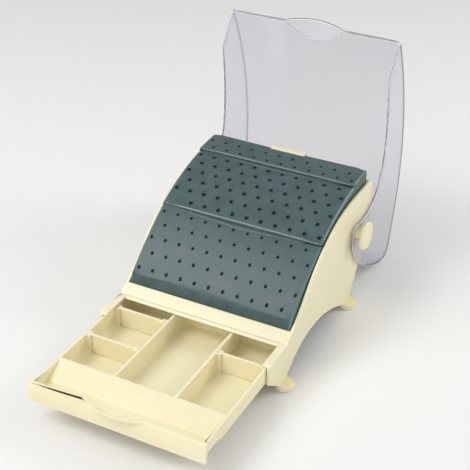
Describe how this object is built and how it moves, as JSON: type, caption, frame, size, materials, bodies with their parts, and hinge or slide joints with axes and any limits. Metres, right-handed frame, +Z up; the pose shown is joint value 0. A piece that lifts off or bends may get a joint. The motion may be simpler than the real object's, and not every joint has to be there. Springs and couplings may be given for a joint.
{
  "type": "dental bur block",
  "caption": "Bench block for dental burs: a sloping drilled insert in a moulded base, a divided drawer below and a hinged clear lid, shown open.",
  "frame": {"origin": "on the table below the middle of the whole block, with the drawer out and the lid back", "axes": "+X to the block's right, +Y from the drawer front to the back, +Z up"},
  "size_m": [0.136, 0.2828, 0.1685],
  "materials": {
    "ivory_plastic": "ivory moulded plastic, satin to gloss",
    "insert_plastic": "dark grey-green moulded plastic, fine satin",
    "clear_plastic": "clear moulded plastic, polished"
  },
  "bodies": {
    "base": {"base_housing": "ivory_plastic", "bur_insert": "insert_plastic", "pivot_knob_left": "ivory_plastic", "pivot_knob_right": "ivory_plastic"},
    "drawer": {"drawer": "ivory_plastic", "cross_divider_left_front": "ivory_plastic", "cross_divider_left_rear": "ivory_plastic", "cross_divider_right": "ivory_plastic"},
    "lid": {"lid": "clear_plastic"}
  },
  "joints": [
    {"name": "drawer_slide", "type": "slide", "parent": "base", "child": "drawer", "axis": [0, 1, 0], "range_m": [0, 0.072]},
    {"name": "lid_hinge", "type": "hinge", "parent": "base", "child": "lid", "pos_m": [0, 0.0623, 0.0527], "axis": [1, 0, 0], "range_deg": [0, 126.5]}
  ]
}
